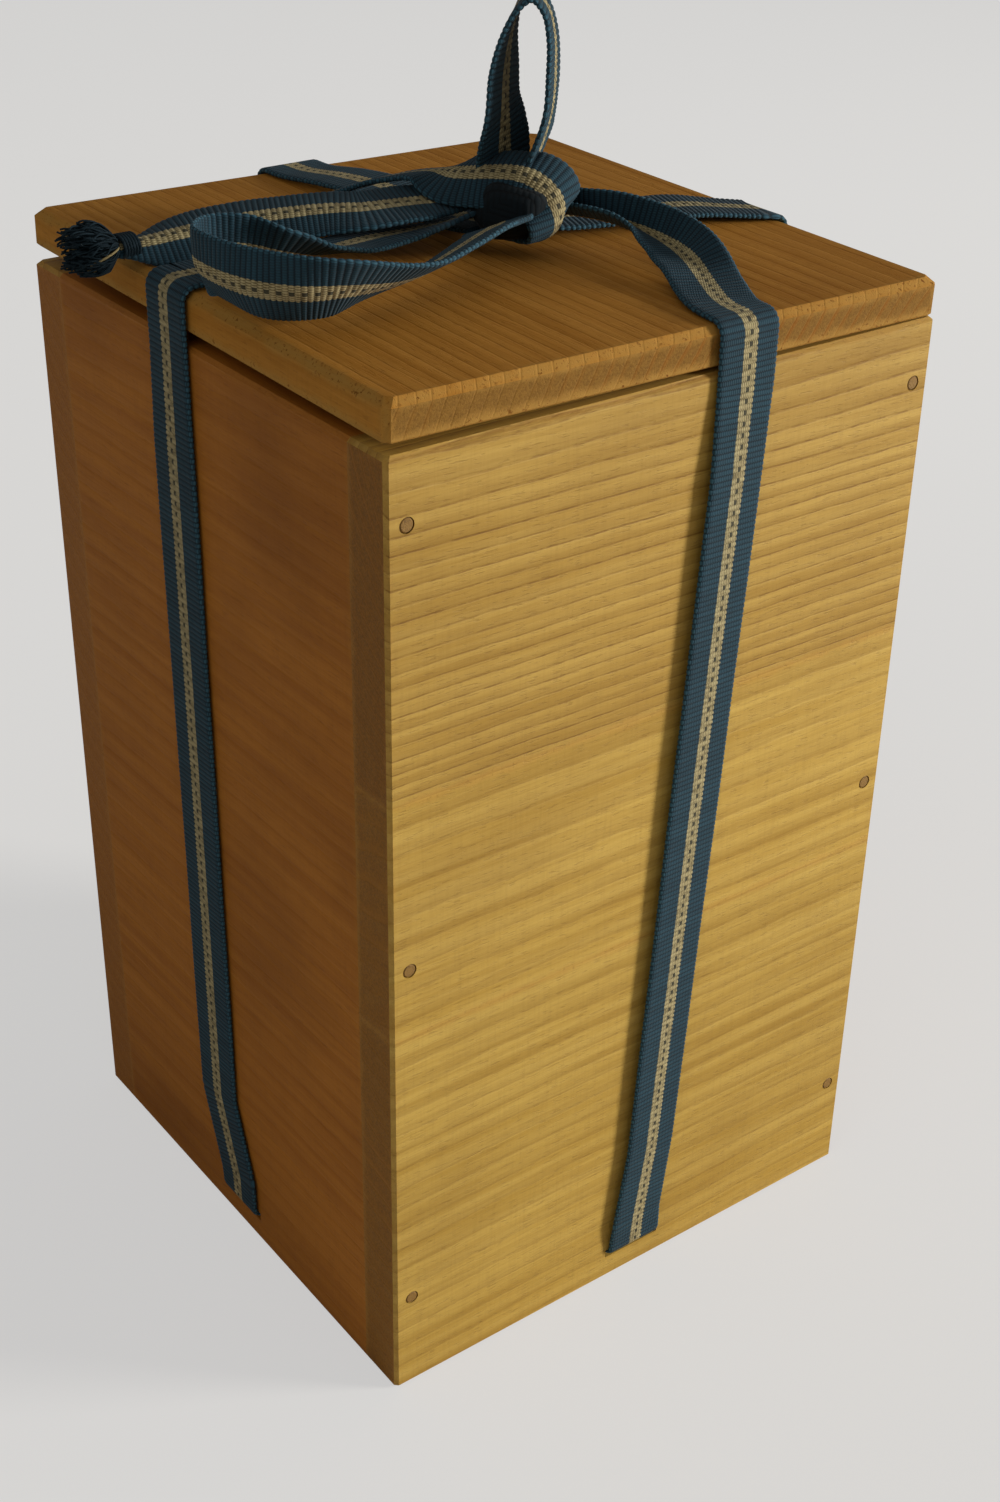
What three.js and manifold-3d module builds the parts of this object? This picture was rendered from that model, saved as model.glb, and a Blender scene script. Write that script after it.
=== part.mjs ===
// Tomobako: a square storage box of paulownia boards, raised floor, loose lid,
// tied four ways with one flat woven strap that ends in a bow on the lid.
// Millimetres, +Z up, the front is -Y, the origin is under the middle of the box.

import * as THREE from 'three';
import { mergeVertices } from 'three/addons/utils/BufferGeometryUtils.js';
import Module from 'manifold-3d';

const wasm = await Module();
wasm.setup();

// Box
const boxWidth = 136;
const boxDepth = 136;
const bodyHeight = 225;
const wallThickness = 12;
const outerChamfer = 0.8;
const frontSeamShares = { lower: 0.4356, upper: 0.6844 };
const floorThickness = 9;
const floorFit = 0.2;
const cutOverrun = 2;

// Strap slots through the walls, just above the ground
const slotSill = 6.4;
const slotHeight = 2.2;
const slotSideClearance = 0.5;
const floorSlotGap = 0.6;

// Pegs through the front and back walls into the ends of the side walls
const pegRadius = 1.5;
const pegFit = 0.15;
const pegLength = 25;
const pegInset = 4.5;
const pegEndBevel = 0.25;
const pegSides = 16;
const pegHeightShares = { lower: 0.115, middle: 0.51, upper: 0.94 };

// Lid, which stands a little open along its left edge, more so at the back
const lidInset = 0.2;
const lidThickness = 8;
const lidTopChamfer = 1.5;
const lidBottomChamfer = 0.5;
const lidCornerCut = 1.2;
const lidLeftGap = 2.2;
const lidBackRise = 1.3;
const lidRestGap = 0.3;
const battenWidth = 12;
const battenDepth = 8;
const battenPlay = 1;
const glueGap = 0.3;

// Strap
const strapWidth = 15;
const strapThickness = 1.2;
const strapGap = 0.3;
const crossingGap = 0.4;
const underRunTop = 13;
const sideRunDrop = 3;
const runJointGap = 0.3;
const straightLead = 3;
const edgeBendRadius = 2.8;
const arcSteps = 4;

// Where each side run leaves its slot and where it crosses the lid's edge,
// measured along its own wall from the wall's middle
const strapOffsets = {
  front: { slot: 0.3, kink: 3, edge: 15 },
  back: { slot: 0, kink: -1, edge: -4 },
  left: { slot: -1.4, kink: 5.5, edge: 7 },
  right: { slot: 0, kink: -3, edge: -14.5 },
};
const kinkHeight = 37;

// Knot on the lid
const knotX = 1;
const knotY = -11.5;
const knotCentreHeight = 9.15;
const knotTurn = THREE.MathUtils.degToRad(36);
const knotCoreLength = 13;
const knotCoreHalfWidth = 9;
const knotCoreHalfHeight = 6.6;
const knotEndShare = 0.62;
const knotSides = 24;
const bandStart = THREE.MathUtils.degToRad(-38);
const bandEnd = THREE.MathUtils.degToRad(148);
const bandSteps = 16;

// Frayed end of the tail
const tasselLength = 13;
const tasselRadius = 5.4;
const tasselNeckRadius = 2.3;
const tasselBellyShare = 0.5;
const tasselShoulderShare = 0.62;
const tasselTurn = THREE.MathUtils.degToRad(88);
const tasselSides = 12;

// Finishes
const wood = { color: 0xb08f4a, roughness: 0.62, metalness: 0 };
const darkWood = { color: 0x82602c, roughness: 0.66, metalness: 0 };
const pegWood = { color: 0x8d6e3c, roughness: 0.6, metalness: 0 };
const weave = { color: 0x2c5470, roughness: 0.85, metalness: 0 };

// Values worked out from the sizes above
const halfWidth = boxWidth / 2;
const halfDepth = boxDepth / 2;
const innerHalfWidth = halfWidth - wallThickness;
const innerHalfDepth = halfDepth - wallThickness;
const slotTop = slotSill + slotHeight;
const slotWidth = strapWidth + 2 * slotSideClearance;
const floorBottom = slotTop + floorSlotGap;
const lidWidth = boxWidth - 2 * lidInset;
const lidDepth = boxDepth - 2 * lidInset;
const lidTilt = Math.asin((lidLeftGap - lidRestGap) / lidWidth);
const lidBackTilt = Math.asin(lidBackRise / lidDepth);
const strapLift = strapGap + strapThickness / 2;
const sideRunTop = bodyHeight - sideRunDrop;

const object = new THREE.Group();
const lid = new THREE.Group();

// Solids for cutting and joining

function toSolid(geometry) {
  const bare = geometry.clone();
  for (const name of Object.keys(bare.attributes)) {
    if (name !== 'position') bare.deleteAttribute(name);
  }
  const merged = mergeVertices(bare);
  return new wasm.Manifold(new wasm.Mesh({
    numProp: 3,
    vertProperties: new Float32Array(merged.attributes.position.array),
    triVerts: new Uint32Array(merged.index.array),
  }));
}

function toGeometry(solid) {
  const mesh = solid.getMesh();
  const geometry = new THREE.BufferGeometry();
  geometry.setAttribute('position', new THREE.BufferAttribute(mesh.vertProperties, 3));
  geometry.setIndex(new THREE.BufferAttribute(mesh.triVerts, 1));
  const flat = geometry.toNonIndexed();
  flat.computeVertexNormals();
  return flat;
}

function addMesh(parent, name, geometry, finish) {
  const mesh = new THREE.Mesh(geometry, new THREE.MeshStandardMaterial(finish));
  mesh.name = name;
  parent.add(mesh);
  return mesh;
}

// A block between two corners
function block(low, high) {
  const size = high.map((value, axis) => value - low[axis]);
  const geometry = new THREE.BoxGeometry(...size);
  return geometry.translate(...low.map((value, axis) => value + size[axis] / 2));
}

// A block with its upright corners cut off, made of outlines stacked in height.
// Each level gives a height and how far the outline is drawn in there.
function stackedBlock(width, depth, cornerCut, levels) {
  const points = [];
  for (const [height, inset] of levels) {
    const x = width / 2 - inset;
    const y = depth / 2 - inset;
    const corners = [
      [x, -y + cornerCut], [x, y - cornerCut], [x - cornerCut, y], [-x + cornerCut, y],
      [-x, y - cornerCut], [-x, -y + cornerCut], [-x + cornerCut, -y], [x - cornerCut, -y],
    ];
    for (const [cornerX, cornerY] of corners) points.push(cornerX, cornerY, height);
  }
  return ringsGeometry(points, levels.length);
}

// A closed surface from rings with the same number of points, capped at both ends
function ringsGeometry(points, ringCount) {
  const ringSize = points.length / 3 / ringCount;
  const index = [];
  for (let ring = 0; ring < ringCount - 1; ring += 1) {
    for (let corner = 0; corner < ringSize; corner += 1) {
      const a = ring * ringSize + corner;
      const b = ring * ringSize + (corner + 1) % ringSize;
      index.push(a, b, b + ringSize, a, b + ringSize, a + ringSize);
    }
  }
  const last = (ringCount - 1) * ringSize;
  for (let corner = 1; corner < ringSize - 1; corner += 1) {
    index.push(0, corner + 1, corner);
    index.push(last, last + corner, last + corner + 1);
  }
  const geometry = new THREE.BufferGeometry();
  geometry.setAttribute('position', new THREE.Float32BufferAttribute(points, 3));
  geometry.setIndex(index);
  const flat = geometry.toNonIndexed();
  flat.computeVertexNormals();
  return flat;
}

// Walls

const envelope = toSolid(stackedBlock(boxWidth, boxDepth, outerChamfer, [
  [0, outerChamfer],
  [outerChamfer, 0],
  [bodyHeight - outerChamfer, 0],
  [bodyHeight, outerChamfer],
]));

// One bar for each wall cuts its slot
function slotCutter(low, high) {
  return toSolid(block([...low, slotSill], [...high, slotTop]));
}

const slotHalf = slotWidth / 2;
const slotEndX = halfWidth + cutOverrun;
const slotEndY = halfDepth + cutOverrun;
const slotCutters = [
  slotCutter(
    [strapOffsets.front.slot - slotHalf, -slotEndY], [strapOffsets.front.slot + slotHalf, 0]),
  slotCutter(
    [strapOffsets.back.slot - slotHalf, 0], [strapOffsets.back.slot + slotHalf, slotEndY]),
  slotCutter(
    [-slotEndX, strapOffsets.left.slot - slotHalf], [0, strapOffsets.left.slot + slotHalf]),
  slotCutter(
    [0, strapOffsets.right.slot - slotHalf], [slotEndX, strapOffsets.right.slot + slotHalf]),
];

// A peg lies along y with its outer end at y = 0 and points into the box
function pegGeometry(radius, length, endBevel) {
  const profile = [
    new THREE.Vector2(0, 0),
    new THREE.Vector2(radius - endBevel, 0),
    new THREE.Vector2(radius, endBevel),
    new THREE.Vector2(radius, length - endBevel),
    new THREE.Vector2(radius - endBevel, length),
    new THREE.Vector2(0, length),
  ];
  return new THREE.LatheGeometry(profile, pegSides);
}

const pegPlaces = [];
for (const [wallName, wallSide] of [['front', -1], ['back', 1]]) {
  for (const [edgeName, edgeSide] of [['left', -1], ['right', 1]]) {
    for (const [levelName, share] of Object.entries(pegHeightShares)) {
      pegPlaces.push({
        name: `peg_${wallName}_${edgeName}_${levelName}`,
        x: edgeSide * (halfWidth - pegInset),
        y: wallSide * halfDepth,
        z: share * bodyHeight,
        turn: wallSide < 0 ? 0 : Math.PI,
      });
    }
  }
}

function placePeg(geometry, place) {
  return geometry.rotateZ(place.turn).translate(place.x, place.y, place.z);
}

// The hole runs a little deeper than its peg and starts outside the wall
function pegHole(place) {
  const bore = pegGeometry(pegRadius + pegFit, pegLength + pegFit + cutOverrun, 0);
  return toSolid(placePeg(bore.translate(0, -cutOverrun, 0), place));
}

const cutters = [...slotCutters, ...pegPlaces.map(pegHole)];

function addWall(name, low, high) {
  let solid = toSolid(block(low, high)).intersect(envelope);
  for (const cutter of cutters) solid = solid.subtract(cutter);
  addMesh(object, name, toGeometry(solid), wood);
}

const frontLowerSeam = frontSeamShares.lower * bodyHeight;
const frontUpperSeam = frontSeamShares.upper * bodyHeight;
const frontBoards = {
  front_wall_lower_board: [0, frontLowerSeam],
  front_wall_middle_board: [frontLowerSeam, frontUpperSeam],
  front_wall_upper_board: [frontUpperSeam, bodyHeight],
};
for (const [name, [bottom, top]] of Object.entries(frontBoards)) {
  addWall(name, [-halfWidth, -halfDepth, bottom], [halfWidth, -innerHalfDepth, top]);
}
addWall('back_wall',
  [-halfWidth, innerHalfDepth, 0], [halfWidth, halfDepth, bodyHeight]);
addWall('left_wall',
  [-halfWidth, -innerHalfDepth, 0], [-innerHalfWidth, innerHalfDepth, bodyHeight]);
addWall('right_wall',
  [innerHalfWidth, -innerHalfDepth, 0], [halfWidth, innerHalfDepth, bodyHeight]);

for (const place of pegPlaces) {
  const peg = pegGeometry(pegRadius, pegLength, pegEndBevel);
  addMesh(object, place.name, placePeg(peg, place), pegWood);
}

// Raised floor, held between the four walls

const floorHalfWidth = innerHalfWidth - floorFit;
const floorHalfDepth = innerHalfDepth - floorFit;
addMesh(object, 'floor_board', block(
  [-floorHalfWidth, -floorHalfDepth, floorBottom],
  [floorHalfWidth, floorHalfDepth, floorBottom + floorThickness],
), wood);

// Lid: its group stands at the lid's lower front right corner and is turned about it

lid.position.set(lidWidth / 2, -lidDepth / 2, bodyHeight + lidRestGap);
lid.rotation.set(lidBackTilt, lidTilt, 0);
object.add(lid);

const lidBoard = stackedBlock(lidWidth, lidDepth, lidCornerCut, [
  [0, lidBottomChamfer],
  [lidBottomChamfer, 0],
  [lidThickness - lidTopChamfer, 0],
  [lidThickness, lidTopChamfer],
]);
addMesh(lid, 'lid_board', lidBoard.translate(-lidWidth / 2, lidDepth / 2, 0), wood);

const battenHalfWidth = innerHalfWidth - battenPlay;
const battenHalfDepth = innerHalfDepth - battenPlay;
const battenTop = -glueGap;
const battenBottom = battenTop - battenDepth;
const sideBattenHalfLength = battenHalfDepth - battenWidth - glueGap;

function addBatten(name, low, high) {
  const geometry = block([...low, battenBottom], [...high, battenTop]);
  addMesh(lid, name, geometry.translate(-lidWidth / 2, lidDepth / 2, 0), darkWood);
}

addBatten('lid_batten_front',
  [-battenHalfWidth, -battenHalfDepth], [battenHalfWidth, -battenHalfDepth + battenWidth]);
addBatten('lid_batten_back',
  [-battenHalfWidth, battenHalfDepth - battenWidth], [battenHalfWidth, battenHalfDepth]);
addBatten('lid_batten_left',
  [-battenHalfWidth, -sideBattenHalfLength], [-battenHalfWidth + battenWidth, sideBattenHalfLength]);
addBatten('lid_batten_right',
  [battenHalfWidth - battenWidth, -sideBattenHalfLength], [battenHalfWidth, sideBattenHalfLength]);

// Height of the lid's top face above the ground at a place on the plan
function lidTopAt(x, y) {
  const leftRise = Math.sin(lidTilt) * (lidWidth / 2 - x);
  const backRise = Math.sin(lidBackTilt) * Math.cos(lidTilt) * (lidDepth / 2 + y);
  const steepness = Math.cos(lidBackTilt) * Math.cos(lidTilt);
  return bodyHeight + lidRestGap + (lidThickness + leftRise + backRise) / steepness;
}

// The strap's routes. A route point holds a place and the direction in which
// the strap's width lies there: [x, y, z, widthX, widthY, widthZ].

const up = new THREE.Vector3(0, 0, 1);

// Route points given above the lid's top face, as [x, y, height, width direction]
function fromLid(points) {
  return points.map(([x, y, height, ...width]) => [x, y, lidTopAt(x, y) + height, ...width]);
}

// A smooth route through the given points
function smoothRoute(points, stepsPerSpan) {
  const places = points.map((point) => new THREE.Vector3(point[0], point[1], point[2]));
  const widths = points.map((point) => new THREE.Vector3(point[3], point[4], point[5]).normalize());
  const placeCurve = new THREE.CatmullRomCurve3(places, false, 'centripetal');
  const widthCurve = new THREE.CatmullRomCurve3(widths, false, 'centripetal');
  const steps = (points.length - 1) * stepsPerSpan;
  const route = [];
  for (let step = 0; step <= steps; step += 1) {
    const place = placeCurve.getPoint(step / steps);
    const width = widthCurve.getPoint(step / steps);
    route.push([...place.toArray(), ...width.toArray()]);
  }
  return route;
}

// A flat strap: a rectangular section carried along a route
function strapGeometry(route) {
  const places = route.map((point) => new THREE.Vector3(point[0], point[1], point[2]));
  const points = [];
  for (let step = 0; step < route.length; step += 1) {
    const before = places[Math.max(step - 1, 0)];
    const after = places[Math.min(step + 1, places.length - 1)];
    const tangent = after.clone().sub(before).normalize();
    const width = new THREE.Vector3(route[step][3], route[step][4], route[step][5]);
    width.addScaledVector(tangent, -width.dot(tangent)).normalize();
    const face = tangent.clone().cross(width);
    for (const [across, through] of [[-1, -1], [1, -1], [1, 1], [-1, 1]]) {
      const corner = places[step].clone();
      corner.addScaledVector(width, across * strapWidth / 2);
      corner.addScaledVector(face, through * strapThickness / 2);
      points.push(...corner.toArray());
    }
  }
  return ringsGeometry(points, route.length);
}

// The four walls: the way out of each and the way along it
const walls = {
  front: { out: new THREE.Vector3(0, -1, 0), along: new THREE.Vector3(1, 0, 0), half: halfDepth },
  back: { out: new THREE.Vector3(0, 1, 0), along: new THREE.Vector3(1, 0, 0), half: halfDepth },
  left: { out: new THREE.Vector3(-1, 0, 0), along: new THREE.Vector3(0, 1, 0), half: halfWidth },
  right: { out: new THREE.Vector3(1, 0, 0), along: new THREE.Vector3(0, 1, 0), half: halfWidth },
};

// A route point by a wall: its distance out from the middle of the box, along
// the wall and up, with the strap's width lying along the wall
function wallPoint(wall, out, along, height) {
  const place = new THREE.Vector3(0, 0, height);
  place.addScaledVector(wall.out, out).addScaledVector(wall.along, along);
  return [...place.toArray(), ...wall.along.toArray()];
}

// Side runs, from above the slots up to the lid
for (const [side, wall] of Object.entries(walls)) {
  const offsets = strapOffsets[side];
  const out = wall.half + strapLift;
  const route = [
    wallPoint(wall, out, offsets.slot, underRunTop + runJointGap),
    wallPoint(wall, out, offsets.slot, underRunTop + runJointGap + straightLead),
    wallPoint(wall, out, offsets.kink, kinkHeight),
    wallPoint(wall, out, offsets.edge, sideRunTop - straightLead),
    wallPoint(wall, out, offsets.edge, sideRunTop),
  ];
  addMesh(object, `strap_side_${side}`, strapGeometry(route), weave);
}

// Runs under the floor, from the foot of one side run, through its slot, across
// and out of the slot in the opposite wall
function underRun(nameA, nameB, sag) {
  const route = [];
  for (const [side, order] of [[nameA, 1], [nameB, -1]]) {
    const wall = walls[side];
    const shift = strapOffsets[side].slot;
    const half = [wallPoint(wall, wall.half + strapLift, shift, underRunTop)];
    for (let step = 0; step <= arcSteps; step += 1) {
      const angle = (step / arcSteps) * Math.PI / 2;
      const out = wall.half + strapLift * Math.cos(angle);
      half.push(wallPoint(wall, out, shift, slotTop - strapLift * Math.sin(angle)));
    }
    half.push(wallPoint(wall, wall.half - wallThickness, shift, slotTop - strapLift));
    half.push(wallPoint(wall, strapWidth, shift, slotTop - strapLift - sag));
    route.push(...(order > 0 ? half : half.reverse()));
  }
  return route;
}

addMesh(object, 'strap_under_front_back', strapGeometry(underRun('front', 'back', 0)), weave);
addMesh(object, 'strap_under_left_right',
  strapGeometry(underRun('left', 'right', strapThickness + crossingGap)), weave);

// Runs over the lid. Each climbs past the lid's edge, bends over it and goes on
// to the knot; the points on the lid are chosen by hand.
const lidRuns = {
  front: [
    [15.6, -60.5, 0.95, 1, 0.02, 0],
    [19, -52, 1.59, 0.99, 0.1, 0.08],
    [22.5, -43, 3.2, 0.96, 0.15, 0.22],
    [25, -35, 4.42, 0.9, 0.25, 0.35],
    [25, -27, 5.52, 0.75, 0.45, 0.48],
    [21, -19, 6.77, 0.45, 0.6, 0.66],
    [17.2, -13, 7.44, 0.12, 0.7, 0.7],
    [13.6, -9.2, 7.43, 0, 0.72, 0.69],
  ],
  back: [
    [-3.6, 60, 1, 1, 0.05, 0],
    [-2, 48, 2.34, 1, 0.1, 0.03],
    [0.2, 36, 2.88, 1, 0.1, 0.05],
    [1.6, 24, 2.67, 1, 0.05, 0.05],
    [2.2, 12, 2.71, 1, 0, 0.05],
    [2.4, 4.5, 2.95, 1, 0, 0.05],
  ],
  left: [
    [-60, 7.4, 0.95, 0, -1, 0],
    [-50, 9.5, 1.1, 0.05, -1, 0.02],
    [-40, 14.2, 2.85, 0.1, -0.98, 0.12],
    [-31, 20.4, 4.56, 0.1, -0.96, 0.22],
    [-22.5, 24.4, 5.78, 0, -0.92, 0.36],
    [-14, 22.2, 8.14, -0.3, -0.8, 0.5],
    [-8, 16, 10.75, -0.6, -0.6, 0.5],
    [-4.6, 7.5, 13.01, -0.8, -0.45, 0.38],
    [-4.2, -0.8, 13.89, -0.81, -0.55, 0.1],
  ],
  right: [
    [60, -12, 1.42, 0.1, 1, 0],
    [50, -8.5, 2.4, 0.05, 1, 0.05],
    [40, -6.3, 2.41, 0, 1, 0.05],
    [30, -5, 2.3, 0, 1, 0.05],
    [20, -4, 2.52, 0, 1, 0.02],
    [13, -3, 2.56, 0, 1, 0],
  ],
};
const lidRunSteps = 3;

for (const [side, wall] of Object.entries(walls)) {
  const edge = strapOffsets[side].edge;
  const out = wall.half + strapLift;
  const edgeX = wall.out.x * out + wall.along.x * edge;
  const edgeY = wall.out.y * out + wall.along.y * edge;
  const bendHeight = lidTopAt(edgeX, edgeY) + strapLift - edgeBendRadius;
  const route = [wallPoint(wall, out, edge, sideRunTop + runJointGap)];
  for (let step = 0; step <= arcSteps; step += 1) {
    const angle = (step / arcSteps) * Math.PI / 2;
    const bendOut = out - edgeBendRadius * (1 - Math.cos(angle));
    route.push(wallPoint(wall, bendOut, edge, bendHeight + edgeBendRadius * Math.sin(angle)));
  }
  const onLid = smoothRoute([route[route.length - 1], ...fromLid(lidRuns[side])], lidRunSteps);
  route.push(...onLid.slice(1));
  addMesh(object, `strap_lid_${side}`, strapGeometry(route), weave);
}

// Knot: a core of folded strap with one turn of the strap round it

const knotAlong = new THREE.Vector3(Math.cos(knotTurn), Math.sin(knotTurn), 0);
const knotAcross = new THREE.Vector3(Math.sin(knotTurn), -Math.cos(knotTurn), 0);
const knotCentre = new THREE.Vector3(knotX, knotY, lidTopAt(knotX, knotY) + knotCentreHeight);

const coreProfile = [
  [0, -1], [knotEndShare, -1], [1, -knotEndShare], [1, knotEndShare], [knotEndShare, 1], [0, 1],
].map(([radius, height]) => new THREE.Vector2(radius, height));
const core = new THREE.LatheGeometry(coreProfile, knotSides);
core.scale(knotCoreHalfWidth, knotCoreLength / 2, knotCoreHalfHeight);
core.rotateZ(knotTurn - Math.PI / 2);
core.translate(...knotCentre.toArray());
addMesh(object, 'knot_core', core, weave);

const bandRoute = [];
for (let step = 0; step <= bandSteps; step += 1) {
  const angle = bandStart + (bandEnd - bandStart) * step / bandSteps;
  const place = knotCentre.clone();
  place.addScaledVector(knotAcross, (knotCoreHalfWidth + strapLift) * Math.sin(angle));
  place.addScaledVector(up, (knotCoreHalfHeight + strapLift) * Math.cos(angle));
  bandRoute.push([...place.toArray(), ...knotAlong.toArray()]);
}
addMesh(object, 'knot_band', strapGeometry(bandRoute), weave);

// Bow: a loop that lies along the lid to the left and a loop that stands up

const lyingLoop = [
  [-6.5, -19, 6.78, 0.1, -0.75, 0.65],
  [-14, -22.5, 7.07, 0, -0.75, 0.66],
  [-24, -27, 7.59, -0.05, -0.7, 0.72],
  [-34, -30, 8.19, -0.05, -0.6, 0.8],
  [-44, -33.3, 8.79, 0, -0.5, 0.87],
  [-54, -34.8, 9.38, 0, -0.3, 0.95],
  [-62, -32.5, 9.72, 0, -0.05, 1],
  [-68, -26.5, 9.91, 0.1, 0.1, 1],
  [-69.6, -18, 9.84, 0.2, 0.15, 0.96],
  [-67, -11.5, 9.76, 0.15, 0, 1],
  [-61, -8.4, 9.68, 0, -0.1, 1],
  [-54, -8, 9.23, 0, -0.2, 0.97],
  [-47, -8.5, 7.98, -0.1, -0.6, 0.8],
  [-40, -6, 5.9, -0.2, -0.9, 0.4],
  [-32, -2.5, 4.66, -0.25, -0.95, 0],
  [-24, -0.5, 4.32, -0.1, -0.99, -0.1],
  [-15, -1.5, 4.53, 0, -1, -0.05],
  [-9, -4, 5.35, 0.1, -0.95, 0.2],
];
const standingLoop = [
  [3.1, -6.1, 17.38, 0.89, 0.46, 0],
  [2.7, -5.8, 22.88, 0.89, 0.46, 0],
  [2.6, -5.8, 28.88, 0.89, 0.46, 0],
  [2.7, -5.9, 35.88, 0.85, 0.52, 0],
  [3.4, -6.4, 42.88, 0.75, 0.66, 0],
  [4.8, -7.5, 47.88, 0.66, 0.75, 0],
  [6.9, -9, 50.18, 0.62, 0.78, 0],
  [9, -10.6, 47.88, 0.64, 0.76, 0],
  [10.2, -11.5, 42.88, 0.68, 0.73, 0],
  [10.5, -11.7, 35.88, 0.71, 0.7, 0],
  [10.2, -11.5, 28.88, 0.71, 0.7, 0],
  [9.8, -11.2, 22.88, 0.71, 0.7, 0],
  [9.6, -11, 16.98, 0.71, 0.7, 0],
];
const tailRoute = [
  [-9, 1.6, 9.1, -0.1, -0.98, -0.1],
  [-16, 3.2, 8.94, -0.1, -0.98, -0.1],
  [-24, 5, 8.48, -0.1, -0.98, -0.1],
  [-31, 9, 7.79, -0.15, -0.97, -0.1],
  [-39, 13, 6.81, -0.15, -0.97, -0.1],
  [-47, 16.8, 5.84, -0.1, -0.98, -0.1],
  [-56, 19.4, 4.87, 0, -1, -0.08],
  [-64, 21, 4.13, 0, -1, 0],
  [-68, 21.6, 4, 0, -1, 0],
];
const bowSteps = 3;

const bowRoutes = {
  bow_loop_lying: lyingLoop,
  bow_loop_standing: standingLoop,
  strap_tail: tailRoute,
};
for (const [name, points] of Object.entries(bowRoutes)) {
  addMesh(object, name, strapGeometry(smoothRoute(fromLid(points), bowSteps)), weave);
}

// Tassel of loosened threads at the tail's end
const tasselStart = [-68.4, 21.7, 4.00];
const tasselProfile = [
  [0, 0],
  [tasselNeckRadius, 0],
  [tasselRadius, tasselLength * tasselBellyShare],
  [tasselRadius, tasselLength * tasselShoulderShare],
  [0, tasselLength],
].map(([radius, height]) => new THREE.Vector2(radius, height));
const tassel = new THREE.LatheGeometry(tasselProfile, tasselSides);
const [tasselX, tasselY, tasselZ] = fromLid([tasselStart])[0];
tassel.rotateZ(tasselTurn).translate(tasselX, tasselY, tasselZ);
addMesh(object, 'tail_tassel', tassel, weave);

export default object;
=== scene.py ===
import bpy
import numpy as np
from mathutils import Matrix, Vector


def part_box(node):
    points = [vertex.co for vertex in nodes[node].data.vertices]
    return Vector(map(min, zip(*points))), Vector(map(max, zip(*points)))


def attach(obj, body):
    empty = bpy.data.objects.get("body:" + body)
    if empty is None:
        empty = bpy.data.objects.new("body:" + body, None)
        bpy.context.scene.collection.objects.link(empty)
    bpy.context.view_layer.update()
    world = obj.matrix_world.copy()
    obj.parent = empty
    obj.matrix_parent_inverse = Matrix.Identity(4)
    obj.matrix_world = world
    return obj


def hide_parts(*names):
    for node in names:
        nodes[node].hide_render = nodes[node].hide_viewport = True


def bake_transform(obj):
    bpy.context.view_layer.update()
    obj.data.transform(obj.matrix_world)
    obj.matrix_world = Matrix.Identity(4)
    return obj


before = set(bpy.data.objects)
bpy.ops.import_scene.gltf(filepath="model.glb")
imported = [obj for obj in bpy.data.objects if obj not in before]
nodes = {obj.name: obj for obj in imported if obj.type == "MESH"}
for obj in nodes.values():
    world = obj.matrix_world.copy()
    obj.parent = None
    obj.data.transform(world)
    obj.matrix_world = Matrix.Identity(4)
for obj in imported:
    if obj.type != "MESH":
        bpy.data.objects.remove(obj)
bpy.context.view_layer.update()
mm = 0.001


# A node's lowest and highest corners, in millimetres
def boxOf(node):
    return [[c / mm for c in corner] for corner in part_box(node)]


def unit(vectors):
    return vectors / np.maximum(np.linalg.norm(vectors, axis=-1, keepdims=True), 1e-9)


# The matrix that turns x, y and z into three directions and moves to a place
def placement(x, y, z, place):
    matrix = np.eye(4)
    matrix[:3] = np.stack([x, y, z, place], axis=1)
    return Matrix(matrix.tolist())


def addObject(name, data):
    made = bpy.data.objects.new(name, data)
    bpy.context.scene.collection.objects.link(made)
    return made


# the photograph's camera
photoCamera = {
    "place": (-252.67, -346.75, 362.58),  # millimetres
    "right": (0.80349, -0.59509, 0.01651),
    "up": (0.28889, 0.41401, 0.86321),
    "back": (-0.52052, -0.68882, 0.50457),
    "lens": 49.99,
    "sensorHeight": 36,  # along the tall side of the picture
    "clip": (0.01, 60),  # metres
}


def placeCamera(values):
    lens = bpy.data.cameras.new("photoCamera")
    lens.sensor_fit = "VERTICAL"
    lens.sensor_height = values["sensorHeight"]
    lens.lens = values["lens"]
    lens.clip_start, lens.clip_end = values["clip"]
    viewer = addObject("photoCamera", lens)
    viewer.matrix_world = placement(
        values["right"], values["up"], values["back"], np.array(values["place"]) * mm)
    bpy.context.scene.camera = viewer


placeCamera(photoCamera)
print("camera placed")


# Shader building: a Wire is a socket, and its operators add Math nodes
class Wire:
    def __init__(self, finish, socket):
        self.finish, self.socket = finish, socket

    def __add__(self, other):
        return self.finish.math("ADD", self, other)

    def __sub__(self, other):
        return self.finish.math("SUBTRACT", self, other)

    def __rsub__(self, other):
        return self.finish.math("SUBTRACT", other, self)

    def __mul__(self, other):
        return self.finish.math("MULTIPLY", self, other)

    def __truediv__(self, other):
        return self.finish.math("DIVIDE", self, other)

    __radd__, __rmul__ = __add__, __mul__


# A node's socket by its number, identifier or name
def socketOf(sockets, key):
    if isinstance(key, int):
        return sockets[key]
    return next(s for s in sockets if key in (s.identifier, s.name))


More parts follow.
